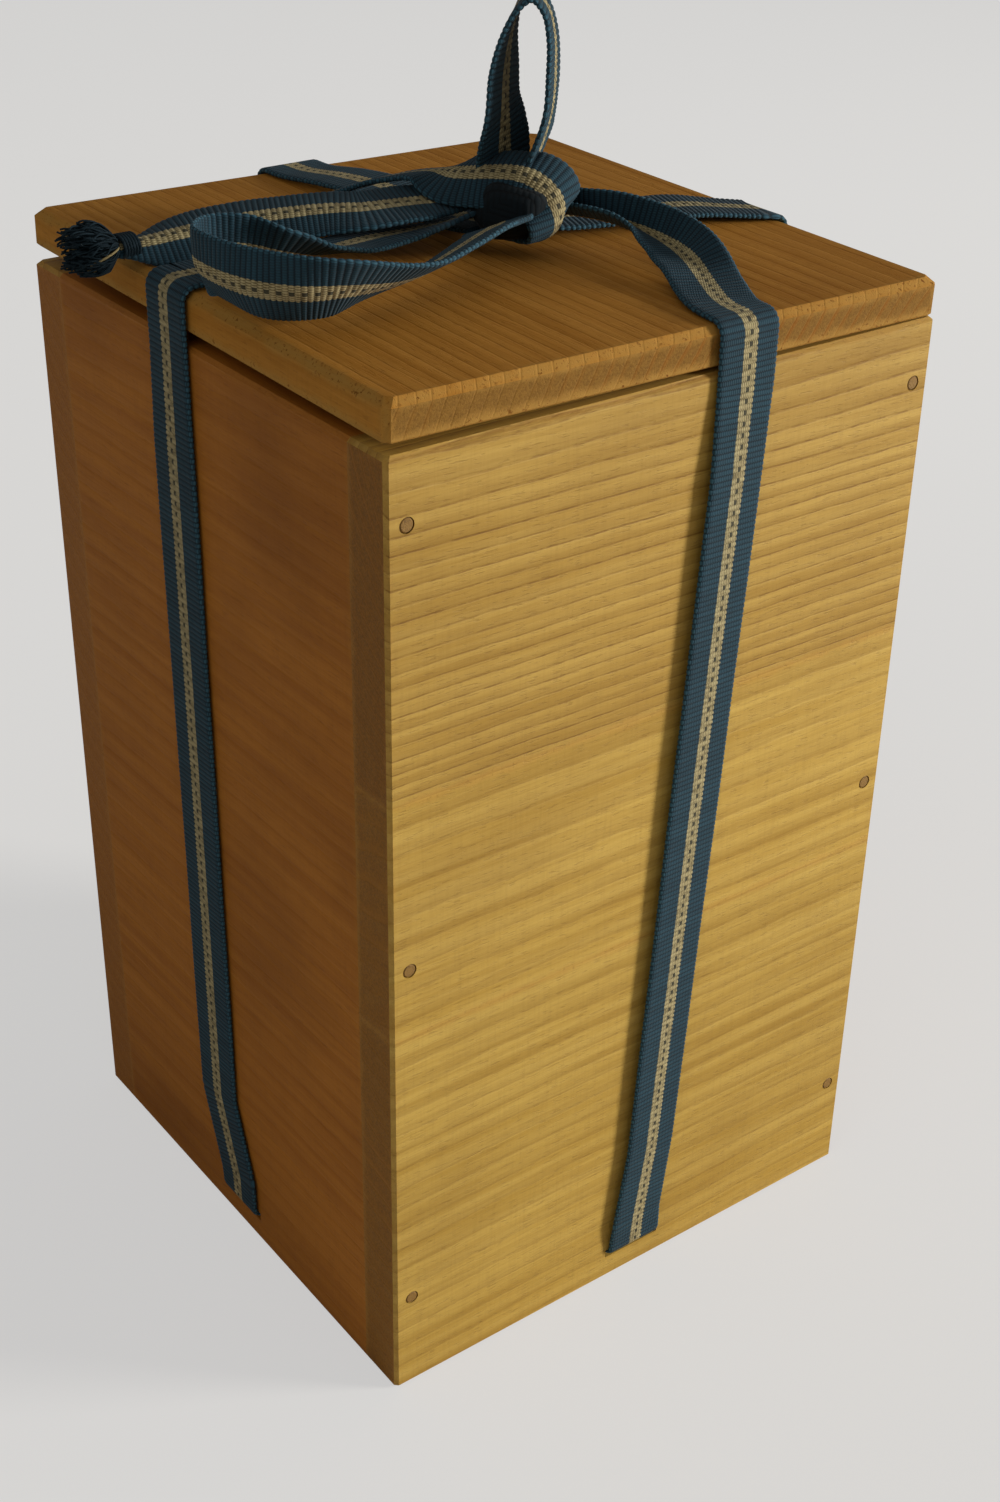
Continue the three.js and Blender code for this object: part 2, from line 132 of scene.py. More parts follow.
# The nodes of a material or of the world
class Finish:
    def __init__(self, owner):
        owner.use_nodes = True
        self.owner, self.tree = owner, owner.node_tree
        self.tree.nodes.clear()

    # any node: its type, its settings, then the values or wires of its sockets
    def node(self, kind, settings=None, inputs=None, output=0):
        made = self.tree.nodes.new(kind)
        for key, value in (settings or {}).items():
            setattr(made, key, value)
        for key, value in (inputs or {}).items():
            socket = socketOf(made.inputs, key)
            if isinstance(value, Wire):
                self.tree.links.new(value.socket, socket)
            else:
                socket.default_value = value
        return Wire(self, socketOf(made.outputs, output))

    def math(self, operation, *values):
        return self.node("ShaderNodeMath", {"operation": operation}, dict(enumerate(values)))

    def parts(self, vector):
        split = self.node("ShaderNodeSeparateXYZ", None, {0: vector})
        return [Wire(self, s) for s in split.socket.node.outputs]

    def vector(self, x, y, z):
        return self.node("ShaderNodeCombineXYZ", None, {0: x, 1: y, 2: z})

    def place(self):
        return self.node("ShaderNodeTexCoord", None, None, "Object")

    def noise(self, vector, scale, detail=2, roughness=0.5):
        return self.node("ShaderNodeTexNoise", None, {
            "Vector": vector, "Scale": scale, "Detail": detail, "Roughness": roughness})

    # an even random number from 0 to 1 for each whole number
    def draw(self, index):
        return self.node("ShaderNodeTexWhiteNoise", {"noise_dimensions": "1D"}, {"W": index})

    # 0 below low, 1 above high and a soft step between
    def step(self, value, low, high):
        return self.node("ShaderNodeMapRange", {"interpolation_type": "SMOOTHSTEP"}, {
            "Value": value, "From Min": low, "From Max": high})

    # up from low to high, and down again from edge to end
    def pulse(self, value, low, high, edge, end):
        return self.step(value, low, high) * (1 - self.step(value, edge, end))

    def blend(self, share, first, second, way="MIX"):
        return self.node("ShaderNodeMix", {"data_type": "RGBA", "blend_type": way}, {
            "Factor_Float": share, "A_Color": first, "B_Color": second}, "Result_Color")

    def bump(self, height, distance, strength):
        return self.node("ShaderNodeBump", None, {
            "Height": height, "Distance": distance, "Strength": strength})

    def surface(self, inputs):
        return self.end(self.node("ShaderNodeBsdfPrincipled", None, inputs))

    def end(self, shader, kind="ShaderNodeOutputMaterial"):
        self.tree.links.new(shader.socket, self.tree.nodes.new(kind).inputs[0])
        return self.owner


def newFinish(name):
    return Finish(bpy.data.materials.new(name))


# A screen colour, 0 to 255, with the screen's curve taken out as a shader wants it
def paint(red, green, blue):
    share = np.array([red, green, blue]) / 255
    linear = np.where(share < 0.04045, share / 12.92, ((share + 0.055) / 1.055) ** 2.4)
    return (*linear.tolist(), 1.0)


# A mesh from its points in metres and from groups of faces, each an array with
# the point numbers of one face in a row; uv has a row for each point
def newMesh(name, points, faces, material, uv=None, smooth=True):
    mesh = bpy.data.meshes.new(name)
    sizes = np.concatenate([np.full(len(group), group.shape[1]) for group in faces])
    corners = np.concatenate([group.ravel() for group in faces])
    mesh.vertices.add(len(points))
    mesh.vertices.foreach_set("co", points.astype(np.float32).ravel())
    mesh.loops.add(len(corners))
    mesh.loops.foreach_set("vertex_index", corners.astype(np.int32))
    mesh.polygons.add(len(sizes))
    mesh.polygons.foreach_set("loop_start", (np.cumsum(sizes) - sizes).astype(np.int32))
    if uv is not None:
        layer = mesh.uv_layers.new(name="UVMap")
        layer.data.foreach_set("uv", uv[corners].astype(np.float32).ravel())
    mesh.update(calc_edges=True)
    mesh.validate()
    mesh.polygons.foreach_set("use_smooth", np.full(len(mesh.polygons), smooth))
    mesh.materials.append(material)
    return addObject(name, mesh)


# Faces of a grid of closed rings, with one face over each end, all pointing out
# where a ring runs anticlockwise as seen from before the first ring
def ringFaces(rings, around):
    ring, side = np.meshgrid(np.arange(rings - 1), np.arange(around), indexing="ij")
    a = ring * around + side
    b = ring * around + (side + 1) % around
    quads = np.stack([a, a + around, b + around, b], axis=-1).reshape(-1, 4)
    first = np.arange(around)[None, :]
    last = first[:, ::-1] + (rings - 1) * around
    return [quads, first, last]


# the lid lies a little tilted: it rises to the left and to the back
lidBoard = {"inset": 0.2, "restGap": 0.3, "thickness": 8, "leftRise": 1.9, "backRise": 1.3}
wallLow, wallHigh = np.round(boxOf("left_wall"), 3)
wallHalf, wallThickness = -wallLow[0], wallHigh[0] - wallLow[0]
lidHalf = wallHalf - lidBoard["inset"]
lidFoot = wallHigh[2] + lidBoard["restGap"]
lidTilt = np.arcsin(lidBoard["leftRise"] / 2 / lidHalf)
lidBackTilt = np.arcsin(lidBoard["backRise"] / 2 / lidHalf)


# Height of the lid's top face over a place
def lidTopAt(x, y):
    left = np.sin(lidTilt) * (lidHalf - x)
    back = np.sin(lidBackTilt) * np.cos(lidTilt) * (lidHalf + y)
    steep = np.cos(lidBackTilt) * np.cos(lidTilt)
    return lidFoot + (lidBoard["thickness"] + left + back) / steep


# Rows that start with x, y and a height above the lid get z in place of the height
def onLid(rows):
    rows = np.array(rows, float)
    rows[:, 2] += lidTopAt(rows[:, 0], rows[:, 1])
    return rows


# The distance from each row to the next
def stepLengths(rows):
    return np.linalg.norm(np.diff(rows[:, :3], axis=0), axis=1)


# Cubic pieces through the rows; each end slope comes from the neighbours,
# weighted by the square roots of the distances between them
def throughRows(rows, steps=24):
    padded = np.vstack([2 * rows[0] - rows[1], rows, 2 * rows[-1] - rows[-2]])
    gaps = np.sqrt(stepLengths(padded))[:, None]
    before, gap, after = gaps[:-2], gaps[1:-1], gaps[2:]
    a, b, c, d = padded[:-3], padded[1:-2], padded[2:-1], padded[3:]
    slopeB = ((b - a) / before - (c - a) / (before + gap) + (c - b) / gap) * gap
    slopeC = ((c - b) / gap - (d - b) / (gap + after) + (d - c) / after) * gap
    b, c, slopeB, slopeC = (part[:, None, :] for part in (b, c, slopeB, slopeC))
    t = np.linspace(0, 1, steps, endpoint=False)[None, :, None]
    curve = (b + slopeB * t + (3 * c - 3 * b - 2 * slopeB - slopeC) * t ** 2
             + (2 * b - 2 * c + slopeB + slopeC) * t ** 3)
    return np.vstack([curve.reshape(-1, rows.shape[1]), rows[-1:]])


# The rows again at equal steps along their length
def respace(rows, step):
    far = np.concatenate([[0], np.cumsum(stepLengths(rows))])
    at = np.linspace(0, far[-1], int(round(far[-1] / step)) + 1)
    return np.stack([np.interp(at, far, column) for column in rows.T], axis=1)


# Each row becomes the bell-weighted mean of its neighbours; the ends stay
def soften(rows, spread):
    reach = int(4 * spread) + 1
    bell = np.exp(-0.5 * (np.arange(-reach, reach + 1) / spread) ** 2)
    head = 2 * rows[0] - rows[reach:0:-1]
    tail = 2 * rows[-1] - rows[-2:-reach - 2:-1]
    long = np.vstack([head, rows, tail])
    return np.stack([np.convolve(c, bell / bell.sum(), "valid") for c in long.T], axis=1)


# strap: one flat woven band
strap = {
    "width": 15.0,
    "thickness": 1.2,
    "ribPitch": 1.15,  # cords across the band
    "stationsPerRib": 4,
    "ribDepth": 0.15,
    "ribPower": 0.7,  # a cord is fuller than half a sine, which is 1
    "edgeBead": 0.14,  # how far each cord stands out at the selvedge
    "edgeWander": 0.06,  # slow change of the half width
    "rimShare": 0.88,  # of the half width, where the rounding of the edge starts
    "foldRadius": 0.9,  # softness of a lengthwise fold
    "wallGap": 0.3,
    "acrossShares": (0, 0.12, 0.24, 0.36, 0.5, 0.66, 0.8, 0.9, 0.97, 1),
}
ribStep = strap["ribPitch"] / strap["stationsPerRib"]
strapLift = strap["wallGap"] + strap["thickness"] / 2


# A woven band: at each station of the route a flat rounded section as wide as
# the band; both faces swell over each cord (a power of half a sine wave) and
# the edge stands out there. A fold bends the two halves up by its angle about
# the middle line, and a crown lifts the edges with the square of their distance.
def wovenBand(name, route, material, widthShare=1.0):
    centre = route[:, :3]
    ahead = unit(np.gradient(centre, axis=0))
    wide = unit(route[:, 3:6] - (route[:, 3:6] * ahead).sum(1, keepdims=True) * ahead)
    face = np.cross(ahead, wide)
    fold, crown = np.radians(route[:, 6:7]), route[:, 7:8]

    # half widths along the route, then places across it, over and back below
    station = np.arange(len(route))
    rib = np.abs(np.sin(np.pi * station / strap["stationsPerRib"])) ** strap["ribPower"]
    wander = np.sin(station * 0.013) + np.sin(station * 0.031 + 1.3)
    halfWidth = strap["width"] / 2
    half = halfWidth - strap["edgeBead"] * (1 - rib) + strap["edgeWander"] * wander
    shares = np.array(strap["acrossShares"])
    top = np.concatenate([-shares[:0:-1], shares])
    bottom = top[-2:0:-1]
    across = np.concatenate([top, bottom])[None, :]
    side = np.repeat([1, -1], [len(top), len(bottom)])[None, :]
    out = across * (half * widthShare)[:, None]

    # half the thickness, and the slope that the fold and the crown give the faces
    rim = np.clip((np.abs(across) - strap["rimShare"]) / (1 - strap["rimShare"]), 0, 1)
    thick = (strap["thickness"] / 2 - strap["ribDepth"] * (1 - rib[:, None])) * np.sqrt(1 - rim ** 2)
    soft = strap["foldRadius"]
    bent = np.sqrt(out ** 2 + soft ** 2)
    slope = out / bent * np.sin(fold) + crown * 2 * across / halfWidth
    stand = 1 / np.sqrt(1 + slope ** 2)
    alongWide = out * np.cos(fold) - side * thick * slope * stand
    alongFace = (bent - soft) * np.sin(fold) + crown * across ** 2 + side * thick * stand
    points = (centre[:, None] + alongWide[..., None] * wide[:, None]
              + alongFace[..., None] * face[:, None])
    uv = np.stack(np.broadcast_arrays(station[:, None] * ribStep, out), axis=-1)
    return newMesh(name, points.reshape(-1, 3) * mm, ringFaces(len(route), across.size),
                   material, uv.reshape(-1, 2) * mm)


# strap material: blue cords across, a cream stripe like a chain
weave = {
    "blue": paint(43, 79, 95),
    "blueDeep": paint(7, 15, 23),
    # a lighter blue: painted highlight on the bead crests along the selvedge
    "selvedgeHighlight": paint(58, 100, 118),
    "cream": paint(176, 163, 122),
    "creamShade": paint(96, 84, 54),
    "opening": paint(40, 42, 36),
    "stripeHalf": 1.7,  # millimetres, as the rest
    "stripeSoftness": 0.1,
    "stripeWave": 0.22,  # how far the stripe swells with each cord
    "stripeFray": 0.4,
    "openingHalf": 0.42,
    "openingSoftness": 0.12,
    "yarnPitch": 0.5,
    "selvedgeFrom": (6.8, 7.3),
    "reliefHeight": 0.2,
}


# Along the band every cord is half a sine; every second cord opens the stripe;
# across it small beads, moved half a step from cord to cord
def weaveFinish(name, values):
    f = newFinish(name)
    along, across, _ = f.parts(f.node("ShaderNodeUVMap", {"uv_map": "UVMap"}))
    phase = along / (strap["ribPitch"] * mm)
    index = f.math("FLOOR", phase)
    cord = f.math("SINE", (phase - index) * np.pi)  # 0 in the gaps, 1 on the cord
    beadAt = across / (values["yarnPitch"] * mm) + f.math("MODULO", index, 2.0) * 0.5
    bead = f.math("SINE", (beadAt - f.math("FLOOR", beadAt)) * np.pi)
    fibre = f.noise(f.vector(along * 900, across * 260, 0.0), 1.0, 3, 0.6)
    faded = f.noise(f.vector(along * 40, across * 60, 2.0), 1.0)

    # stripe, its openings, the selvedge's painted highlight, and painted shade in the gaps between the
    # cords
    away = f.math("ABSOLUTE", across)
    fray, wave = values["stripeFray"] * mm, values["stripeWave"] * mm
    edge = values["stripeHalf"] * mm + (fibre - 0.5) * fray + (cord - 0.6) * wave
    soft = values["stripeSoftness"] * mm
    stripe = 1 - f.step(away - edge, -soft, soft)
    swing = f.math("COSINE", (phase * 0.5 - 0.75) * 2 * np.pi)  # 1 on every second cord
    inner, outer = [(values["openingHalf"] + way * values["openingSoftness"]) * mm for way in (-1, 1)]
    opening = f.step(swing, -0.05, 0.4) * (1 - f.step(away, inner, outer))
    selvedgeHighlight = f.step(away, *(place * mm for place in values["selvedgeFrom"]))
    # gap is 1 between the cords, where shade is painted
    gap = 1 - f.step(cord, 0.15, 0.75)

    tone = f.draw(index) * 0.14 + fibre * 0.38 + bead * 0.3 + faded * 0.2
    blue = f.blend(tone, values["blueDeep"], values["blue"])
    # painted highlight: lighter blue on the bead crests along the selvedge
    blue = f.blend(selvedgeHighlight * bead * 0.7, blue, values["selvedgeHighlight"])
    # painted shade: the blue darker in the gaps between the cords
    blue = f.blend(gap * 0.65, blue, values["blueDeep"])
    cream = f.blend(f.step(fibre + bead * 0.4, 0.45, 0.95), values["creamShade"], values["cream"])
    # painted shade: the cream darker in the gaps between the cords
    cream = f.blend(gap * 0.35, cream, values["creamShade"])
    colour = f.blend(stripe, blue, cream)
    colour = f.blend(opening * 0.9, colour, values["opening"])
    relief = cord * 0.5 + fibre * 0.25 + bead * 0.45 - opening * 0.5
    return f.surface({
        "Base Color": colour, "Roughness": 0.74 + fibre * 0.2,
        "Normal": f.bump(relief, values["reliefHeight"] * mm, 0.7),
        "Sheen Weight": 0.05, "Sheen Roughness": 0.5, "Specular IOR Level": 0.22})


strapWeave = weaveFinish("strapWeave", weave)

# strap routes: x, y, height above the lid, width direction, fold, crown
lidRuns = {
    "front": [
        [15.6, -60.5, 0.95, 1, 0.02, 0, 0, 0],
        [19, -52, 1.59, 0.99, 0.1, 0.08, 3, 0],
        [22.5, -43, 3.2, 0.96, 0.15, 0.22, 14, 0],
        [25, -35, 3.6, 0.9, 0.25, 0.35, 30, 0],
        [25, -27, 4.3, 0.75, 0.45, 0.48, 50, 0],
        [21, -19, 6.0, 0.5, 0.66, 0.55, 68, 0],
        [17.2, -13, 6.4, 0.2, 0.78, 0.55, 74, 0],
        [13.6, -9.2, 6.6, 0, 0.8, 0.55, 72, 0],
        [8, -7, 7, 0, 0.8, 0.55, 66, 0],
    ],
    "back": [
        [-3.6, 60, 1, 1, 0.05, 0, 0, 0],
        [-2, 48, 2.34, 1, 0.1, 0.03, 0, 0],
        [0.2, 36, 2.88, 1, 0.1, 0.05, 0, 0],
        [1.6, 24, 2.67, 1, 0.05, 0.05, 0, 0],
        [2.2, 12, 2.71, 1, 0, 0.05, 0, 0],
        [2.4, 4.5, 2.95, 1, 0, 0.05, 0, 0],
        [2.4, -4, 4.07, 1, 0, 0.05, 0, 0],
    ],
    "left": [
        [-60, 7.4, 0.95, 0, -1, 0, 0, 0],
        [-50, 9.5, 1.1, 0.05, -1, 0.02, 0, 0],
        [-40, 14.2, 2.85, 0.1, -0.98, 0.12, 0, 0],
        [-31, 20.4, 4.56, 0.1, -0.96, 0.22, 0, 0],
        [-22.5, 24.4, 5.78, 0, -0.92, 0.36, 0, 0],
        [-14, 22.2, 8.14, -0.35, -0.85, 0.3, 0, 0],
        [-8, 16, 10.75, -0.82, -0.54, 0.14, 0, 0],
        [-4.6, 7.5, 13.2, -0.92, -0.32, 0.04, -4, 0],
        [-4.2, -0.8, 14.8, -0.72, -0.46, -0.45, -10, -0.6],
    ],
    "right": [
        [60, -12, 1.42, 0.1, 1, 0, 0, 0],
        [50, -8.5, 2.4, 0.05, 1, 0.05, 0, 0],
        [40, -6.3, 2.41, 0, 1, 0.05, 0, 0],
        [30, -3.8, 2.3, 0, 1, 0.05, 0, 0],
        [20, -1.4, 2.6, 0, 1, 0.1, 0, 0],
        [13, 0.6, 3.4, 0, 1, 0.15, 0, 0],
        [6, 0.6, 4.6, 0, 1, 0.15, 0, 0],
    ],
}
# Along its own wall from the wall's middle: at the slot, at the kink, at the lid
sideOffsets = {
    "front": (0.3, 3, 15), "back": (0, -1, -4),
    "left": (-1.4, 5.5, 7), "right": (0, -3, -14.5),
}
sideRun = {
    "topHeight": 222, "kinkHeight": 37, "footHeight": 16.3,
    "lean": {"front": 4.6, "back": 2.5, "left": -2, "right": 2},  # degrees
    "leanHeight": 203, "leanPlaceShare": 0.1, "footLeanShare": 0.7,
    "edgeBend": 2.8, "slotTop": 8.6, "slotLead": 2, "slotBend": 1.6,
    "underEnd": 15, "crossingSag": 1.6,
    "firstStep": 0.12, "softening": 5,  # spacing of the rows that are softened, and spread
}
wallWays = {  # the way out of each wall and the way along it
    "front": ((0, -1, 0), (1, 0, 0)), "back": ((0, 1, 0), (1, 0, 0)),
    "left": ((-1, 0, 0), (0, 1, 0)), "right": ((1, 0, 0), (0, 1, 0)),
}


# A row by a wall; lean turns the strap so that its far edge lifts off the wall
def wallRow(side, out, along, height, lean=0.0):
    way, beside = np.array(wallWays[side], float)
    tip = np.radians(lean)
    out = out + strap["width"] / 2 * abs(np.sin(tip))
    place = way * out + beside * along + np.array([0, 0, height])
    return np.concatenate([place, beside * np.cos(tip) - way * np.sin(tip), [0, 0]])


# A quarter turn inwards from the wall: up over the lid's edge where rise is 1,
# down into the slot where it is -1
def quarterTurn(side, along, bend, height, rise, count):
    out = wallHalf + strapLift
    return [wallRow(side, out - bend * (1 - np.cos(a)), along, height + rise * bend * np.sin(a))
            for a in np.linspace(0, np.pi / 2, count)]


# The strap that comes from the left goes over the knot and tucks in below it
knot = {
    "centre": (1, -11.5, 9.15), "turn": 36.0,
    "halfWide": 9.0, "halfHigh": 6.6, "coreLength": 13.0,
    "band": [  # angle from the top, shift along the knot, width direction
        (2, 0, -0.6, -0.44, -0.6), (28, 0, -0.74, -0.05, -0.62), (54, 0, -0.82, 0.12, -0.5),
        (78, 0, -0.93, 0, -0.3), (100, 0.6, -0.9, -0.4, -0.1), (124, 2.4, -0.81, -0.59, 0),
        (150, 4.6, -0.81, -0.59, 0), (172, 6.2, -0.81, -0.59, 0),
    ],
    "bandFold": -14, "bandCurl": -1.0,  # how far the band's edges bend in
}
knotTurn = np.radians(knot["turn"])
knotAlong = np.array([np.cos(knotTurn), np.sin(knotTurn), 0])
knotAcross = np.array([np.sin(knotTurn), -np.cos(knotTurn), 0])
knotUp = np.array([0, 0, 1])
knotCentre = onLid([knot["centre"]])[0]


# Rows on an ellipse round the knot's own line
def bandRows(values):
    rows = np.array(values["band"])
    angle = np.radians(rows[:, :1])
    place = (knotCentre + knotAcross * (values["halfWide"] + strapLift) * np.sin(angle)
             + knotUp * (values["halfHigh"] + strapLift) * np.cos(angle)
             + knotAlong * rows[:, 1:2])
    ends = np.tile([values["bandFold"], values["bandCurl"]], (len(rows), 1))
    return np.hstack([place, rows[:, 2:], ends])


# From the knot over the lid, round its edge, down the wall and under the floor:
# curved on the lid, a quarter turn at the edge, straight on the wall
def halfTie(side, sag):
    slot, kink, edge = sideOffsets[side]
    lean = sideRun["lean"][side]
    bend, slotBend = sideRun["edgeBend"], sideRun["slotBend"]
    out = wallHalf + strapLift
    top = lidTopAt(*wallRow(side, out, edge, 0)[:2]) + strapLift - bend
    low = sideRun["slotTop"] - strapLift
    overEdge = quarterTurn(side, edge, bend, top, 1, 9)[::-1]
    knotEnd = bandRows(knot)[::-1] if side == "left" else np.empty((0, 8))
    onTop = throughRows(np.vstack([knotEnd, onLid(lidRuns[side])[::-1], overEdge[:1]]))
    down = [wallRow(side, out, *place) for place in (
        (edge, sideRun["topHeight"], 0),
        (edge - (edge - kink) * sideRun["leanPlaceShare"], sideRun["leanHeight"], lean),
        (kink, sideRun["kinkHeight"], lean),
        (slot, sideRun["footHeight"], lean * sideRun["footLeanShare"]),
        (slot, sideRun["slotTop"] + sideRun["slotLead"], 0))]
    inwards = quarterTurn(side, slot, slotBend, low + slotBend, -1, 7)
    under = [wallRow(side, wallHalf - wallThickness, slot, low),
             wallRow(side, sideRun["underEnd"], slot, low - sag)]
    return np.vstack([onTop, overEdge[1:], down, inwards, under])


# Both halves of a strap round the box, softened where they bend; others are nodes
# that it stands for besides its own runs
def wholeTie(name, nearSide, farSide, sag, *others):
    near, far = halfTie(nearSide, sag), halfTie(farSide, sag)
    rows = respace(np.vstack([near, far[::-1]]), sideRun["firstStep"])
    rows = respace(soften(rows, sideRun["softening"]), ribStep)
    tie = wovenBand(name, rows, strapWeave)
    parts = [f"under_{nearSide}_{farSide}", f"side_{nearSide}", f"side_{farSide}",
             f"lid_{nearSide}", f"lid_{farSide}"]
    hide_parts(*[f"strap_{part}" for part in parts], *others)
    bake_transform(tie)


wholeTie("strapFrontToBack", "front", "back", 0)
wholeTie("strapLeftToRight", "left", "right", sideRun["crossingSag"], "knot_band")
print("straps round the box made")

# bow: one strap, from the standing loop through the knot, round the loop
# that lies to the left, through the knot again and out as the tail
bowRows = [
    [6.6, -4.6, 6.9, 0.92, 0.05, 0, 0, 0],
    [5.2, -3.2, 11.9, 0.93, 0.08, 0, 0, 0],
    [4.8, -3.2, 17.4, 0.94, 0.12, 0, 0, 0],
    [3.6, -4.6, 22.9, 0.93, 0.25, 0, 0, 0],
    [2.6, -5.8, 28.88, 0.89, 0.46, 0, 0, 0],
    [2.7, -5.9, 35.88, 0.85, 0.52, 0, 0, 0],
    [3.4, -6.4, 42.88, 0.75, 0.66, 0, 0, 0],
    [4.8, -7.5, 47.88, 0.66, 0.75, 0, 0, 0],
    [6.9, -9, 50.18, 0.62, 0.78, 0, 0, 0],
    [9, -10.6, 47.88, 0.64, 0.76, 0, 0, 0],
    [10.2, -11.5, 42.88, 0.68, 0.73, 0, 0, 0],
    [10.5, -11.7, 35.88, 0.71, 0.7, 0, 0, 0],
    [10.2, -11.5, 28.88, 0.71, 0.7, 0, 0, 0],
    [10, -9.6, 22.9, 0.74, 0.66, 0, 0, 0],
    [10.4, -5.6, 16.3, 0.8, 0.5, 0.3, 0, 0],
    [8.4, -2.8, 9.2, 0.6, -0.1, 0.6, 0, 0],
    [3.4, -6, 6.4, 0.5, -0.5, 0.6, 0, 0],
    [-3, -12.6, 6.8, 0.5, -0.72, 0.4, 0, 0],
    [-9, -19.4, 8.8, 0.46, -0.78, 0.36, 0, 0],
    [-16.4, -24.4, 9.5, 0.4, -0.8, 0.44, 0, 0],
    [-26, -28.6, 8.6, 0.32, -0.82, 0.46, 0, 0],
    [-36, -32, 7.3, 0.26, -0.84, 0.48, 3, 0],
    [-44, -33.6, 7.2, 0.14, -0.79, 0.6, 6, 0],
    [-54, -34.4, 8, 0, -0.56, 0.83, 4, 0],
    [-62, -31.6, 7.9, -0.12, -0.34, 0.93, 13, 0],
    [-68, -25, 8.1, -0.2, -0.1, 0.97, 17, 0],
    [-70.6, -16.5, 8.5, -0.3, 0, 0.95, 18, 0],
    [-70, -8.6, 8.7, -0.28, 0, 0.96, 14, 0],
    [-64.8, -3.8, 8.2, 0, 0.12, 0.99, 4, 0],
    [-57.5, -4.4, 7.9, 0, -0.16, 0.98, 0, 0],
    [-50.5, -6.4, 6.6, -0.1, -0.62, 0.78, 0, 0],
    [-43, -5.4, 5.2, -0.2, -0.88, 0.4, 0, 0],
    [-34, -2.7, 4.6, -0.15, -0.98, 0.1, 0, 0],
    [-25, -0.5, 4.3, 0, -0.99, 0.05, 0, 0],
    [-16, -1.2, 4.7, -0.1, -0.97, 0.16, 0, 0],
    [-9, -3.6, 6, -0.25, -0.9, 0.28, 0, 0],
    [-2, -5.6, 8.2, -0.25, -0.88, 0.4, 0, 0],
    [1.5, -4, 9.2, 0, -0.98, 0.1, 0, 0],
    [-2, -1, 9.6, -0.1, -0.97, -0.2, 0, 0],
    [-9, 1.6, 9.2, -0.1, -0.97, -0.2, 0, 0],
    [-16, 3.2, 9.1, -0.1, -0.97, -0.2, 0, 0],
    [-24, 5, 8.9, -0.1, -0.97, -0.22, -4, 0],
    [-31, 9, 8.6, -0.15, -0.95, -0.28, -8, 0],
    [-39, 13, 7.8, -0.15, -0.93, -0.34, -12, 0],
    [-47, 16.8, 6.7, -0.1, -0.92, -0.38, -14, 0],
    [-56, 19.4, 5.3, 0, -0.92, -0.38, -16, 0],
    [-65, 21.1, 4.3, 0, -0.94, -0.33, -32, 0],
    [-71.4, 21.9, 4.2, 0, -0.96, -0.26, -52, 0],
]
bowRoute = respace(throughRows(onLid(bowRows)), ribStep)
# The strap is bunched at its end and inside the knot, but not in the standing
# loop: lengths in millimetres, and shares of the full width
bunched = {
    "endShare": 0.42, "endReach": 12,
    "knotShare": 0.5, "knotFrom": 8, "knotReach": 13,
    "standingLength": 112, "standingReach": 9,
}


# 0 to 1 in a smooth step
def easy(share):
    share = np.clip(share, 0, 1)
    return share ** 2 * (3 - 2 * share)


# The width falls to its shares by smooth steps of the length left to the end
# and of the distance from the knot
def bunching(route, values):
    passed = np.arange(len(route)) * ribStep
    away = np.linalg.norm(route[:, :3] - knotCentre, axis=1)
    atEnd = 1 - easy(passed[::-1] / values["endReach"])
    inKnot = 1 - easy((away - values["knotFrom"]) / values["knotReach"])
    inKnot = inKnot * easy((passed - values["standingLength"]) / values["standingReach"])
    return (1 - (1 - values["endShare"]) * atEnd) * (1 - (1 - values["knotShare"]) * inKnot)


bowStrap = wovenBand("bowStrap", bowRoute, strapWeave, bunching(bowRoute, bunched))
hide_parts("bow_loop_lying", "bow_loop_standing", "strap_tail")
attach(bowStrap, "lid")

# heart of the knot: darker than the strap, because it lies in its shade
heart = {
    "share": 0.92, "shift": 1.7,  # of the knot's sizes, and along its line
    "stations": 60, "around": 72,
    "drawnIn": 0.45,  # at both ends
    "creases": 5, "creaseDepth": 0.05, "creaseTwist": 2,
    "boxPower": 0.8,  # 1 is an ellipse, and less is closer to a box
    "weaveFrom": 3.5, "weaveShare": 0.4,  # it shows the cords beside the stripe
}
shadedWeave = dict(weave, blue=paint(17, 31, 38), blueDeep=paint(4, 8, 11), selvedgeHighlight=paint(17, 31, 38))


# Rings of a rounded box shape along the knot's line, drawn in at both ends by
# the fourth power of the length, with creases that run along it
def knotHeart(values, material):
    t = np.linspace(-1, 1, values["stations"])[:, None]
    a = np.linspace(0, 2 * np.pi, values["around"], endpoint=False)[None, :]
    crease = np.sin(values["creases"] * a + values["creaseTwist"] * t)
    size = (1 - t ** 4 * values["drawnIn"]) * (1 + values["creaseDepth"] * crease) * values["share"]
    cos, sin = np.cos(a), np.sin(a)
    x = knot["halfWide"] * size * np.sign(cos) * np.abs(cos) ** values["boxPower"]
    z = knot["halfHigh"] * size * np.sign(sin) * np.abs(sin) ** values["boxPower"]
    along = t * knot["coreLength"] / 2 * values["share"] + values["shift"] + 0 * a
    points = (knotCentre + x[..., None] * knotAcross + z[..., None] * knotUp
              + along[..., None] * knotAlong)
    uv = np.stack([along, values["weaveFrom"] + np.abs(x) * values["weaveShare"]], axis=-1)
    return newMesh("knotHeart", points.reshape(-1, 3) * mm,
                   ringFaces(values["stations"], values["around"]), material, uv.reshape(-1, 2) * mm)


heartPiece = knotHeart(heart, weaveFinish("shadedWeave", shadedWeave))
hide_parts("knot_core")
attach(heartPiece, "lid")

